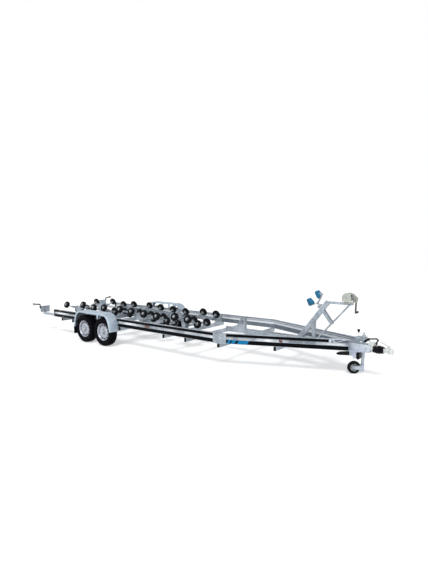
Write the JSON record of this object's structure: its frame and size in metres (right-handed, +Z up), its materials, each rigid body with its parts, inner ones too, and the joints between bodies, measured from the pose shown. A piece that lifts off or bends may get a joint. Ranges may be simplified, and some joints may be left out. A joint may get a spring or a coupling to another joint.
{
  "type": "boat trailer",
  "caption": "Tandem-axle galvanised boat trailer with hull rollers on rocking cradles, winch stand, bow stop, mudguards, sliding tail lamps, overrun coupling and jockey wheel.",
  "frame": {"origin": "on the ground under the middle of the trailer's overall length and width", "axes": "+X forward to the coupling, +Y to the left, +Z up"},
  "size_m": [8.595, 2.505, 1.4118],
  "materials": {
    "galvanised": "hot-dip galvanised, blue-grey and softly mottled",
    "tyre": "black rubber",
    "wheel_silver": "silver paint",
    "roller_rubber": "matt black rubber",
    "gaiter_rubber": "black rubber",
    "blue_pad": "blue moulded rubber",
    "black_plastic": "matt black",
    "dark_steel": "dark steel",
    "zinc_winch": "pale passivated zinc",
    "cast_zinc": "zinc plated casting",
    "lamp_plastic": "red lens in a black housing",
    "jockey_rubber": "solid rubber tyre with a grey hub"
  },
  "bodies": {
    "frame": {"rail_rear_right": "galvanised", "rail_rear_left": "galvanised", "rail_front_right": "galvanised", "rail_front_left": "galvanised", "bend_plate_right": "galvanised", "bend_plate_left": "galvanised", "cradle_member_1": "galvanised", "cradle_member_2": "galvanised", "cradle_member_3": "galvanised", "cradle_member_4": "galvanised", "member_tail": "galvanised", "member_middle": "galvanised", "member_bend": "galvanised", "member_front": "galvanised", "spine": "galvanised", "drawbar_cap": "galvanised", "drawbar_base": "galvanised", "overrun_housing": "cast_zinc", "overrun_bellows": "gaiter_rubber", "coupling_head": "cast_zinc", "axle_front": "galvanised", "axle_rear": "galvanised", "mudguard_right": "galvanised", "mudguard_left": "galvanised", "winch_stand": "galvanised", "winch_frame": "zinc_winch", "jockey_clamp": "galvanised", "jockey_tube": "galvanised", "jockey_knob": "black_plastic", "chock_holder": "galvanised", "chocks": "black_plastic"},
    "wheel_front_right": {"rim_front_right": "wheel_silver", "tyre_front_right": "tyre"},
    "wheel_front_left": {"rim_front_left": "wheel_silver", "tyre_front_left": "tyre"},
    "wheel_rear_right": {"rim_rear_right": "wheel_silver", "tyre_rear_right": "tyre"},
    "wheel_rear_left": {"rim_rear_left": "wheel_silver", "tyre_rear_left": "tyre"},
    "cradle_body_1": {"cradle_1": "galvanised", "rollers_1": "roller_rubber"},
    "cradle_body_2": {"cradle_2": "galvanised", "rollers_2": "roller_rubber"},
    "cradle_body_3": {"cradle_3": "galvanised", "rollers_3": "roller_rubber"},
    "cradle_body_4": {"cradle_4": "galvanised", "rollers_4": "roller_rubber"},
    "bow_stop": {"bow_fork": "galvanised", "bow_pads": "blue_pad"},
    "winch_drum_body": {"winch_drum": "zinc_winch"},
    "winch_crank_body": {"winch_crank": "dark_steel"},
    "coupling_handle_body": {"coupling_handle": "cast_zinc"},
    "handbrake": {"handbrake_lever": "black_plastic"},
    "jockey_stem": {"jockey_inner": "galvanised"},
    "jockey_castor": {"jockey_fork": "galvanised"},
    "jockey_wheel_body": {"jockey_wheel": "jockey_rubber"},
    "lamp_arm_right": {"lamp_carrier_right": "galvanised", "tail_lamp_right": "lamp_plastic"},
    "lamp_arm_left": {"lamp_carrier_left": "galvanised", "tail_lamp_left": "lamp_plastic"}
  },
  "joints": [
    {"name": "wheel_front_right_spin", "type": "hinge", "parent": "frame", "child": "wheel_front_right", "pos_m": [-1.4375, -1.1245, 0.3145], "axis": [0, 1, 0], "continuous": true},
    {"name": "wheel_front_left_spin", "type": "hinge", "parent": "frame", "child": "wheel_front_left", "pos_m": [-1.4375, 1.1245, 0.3145], "axis": [0, 1, 0], "continuous": true},
    {"name": "wheel_rear_right_spin", "type": "hinge", "parent": "frame", "child": "wheel_rear_right", "pos_m": [-2.1205, -1.1245, 0.3145], "axis": [0, 1, 0], "continuous": true},
    {"name": "wheel_rear_left_spin", "type": "hinge", "parent": "frame", "child": "wheel_rear_left", "pos_m": [-2.1205, 1.1245, 0.3145], "axis": [0, 1, 0], "continuous": true},
    {"name": "cradle_1_rock", "type": "hinge", "parent": "frame", "child": "cradle_body_1", "pos_m": [-3.5375, 0, 0.51], "axis": [0, 1, 0], "range_deg": [0, 8]},
    {"name": "cradle_2_rock", "type": "hinge", "parent": "frame", "child": "cradle_body_2", "pos_m": [-2.5075, 0, 0.51], "axis": [0, 1, 0], "range_deg": [0, 8]},
    {"name": "cradle_3_rock", "type": "hinge", "parent": "frame", "child": "cradle_body_3", "pos_m": [-1.1075, 0, 0.51], "axis": [0, 1, 0], "range_deg": [-5, 0]},
    {"name": "cradle_4_rock", "type": "hinge", "parent": "frame", "child": "cradle_body_4", "pos_m": [0.2325, 0, 0.51], "axis": [0, 1, 0], "range_deg": [-6, 0]},
    {"name": "bow_stop_swivel", "type": "hinge", "parent": "frame", "child": "bow_stop", "pos_m": [3.0195, 0, 1.16], "axis": [-0.6141, 0, 0.7892], "range_deg": [-25, 155]},
    {"name": "winch_drum_spin", "type": "hinge", "parent": "frame", "child": "winch_drum_body", "pos_m": [3.5425, 0, 1.3], "axis": [0, 1, 0], "continuous": true},
    {"name": "winch_crank_spin", "type": "hinge", "parent": "frame", "child": "winch_crank_body", "pos_m": [3.6345, 0.112, 1.252], "axis": [0, 1, 0], "continuous": true},
    {"name": "coupling_handle_lift", "type": "hinge", "parent": "frame", "child": "coupling_handle_body", "pos_m": [4.2175, 0, 0.552], "axis": [0, 1, 0], "range_deg": [0, 40]},
    {"name": "handbrake_pull", "type": "hinge", "parent": "frame", "child": "handbrake", "pos_m": [4.0305, -0.038, 0.575], "axis": [0, 1, 0], "range_deg": [0, 70]},
    {"name": "jockey_wind", "type": "slide", "parent": "frame", "child": "jockey_stem", "axis": [0, 0, 1], "range_m": [-0.15, 0.03]},
    {"name": "jockey_swivel", "type": "hinge", "parent": "jockey_stem", "child": "jockey_castor", "pos_m": [3.7775, 0.18, 0.17], "axis": [0, 0, 1], "continuous": true},
    {"name": "jockey_spin", "type": "hinge", "parent": "jockey_castor", "child": "jockey_wheel_body", "pos_m": [3.66277, 0.09133, 0.1105], "axis": [0.6115, -0.7912, 0], "continuous": true},
    {"name": "lamp_arm_right_slide", "type": "slide", "parent": "frame", "child": "lamp_arm_right", "axis": [1, 0, 0], "range_m": [0, 0.4]},
    {"name": "lamp_arm_left_slide", "type": "slide", "parent": "frame", "child": "lamp_arm_left", "axis": [1, 0, 0], "range_m": [0, 0.4]}
  ],
  "couplings": [
    {"joint": "winch_crank_spin", "follows": "winch_drum_spin", "ratio": -4}
  ]
}
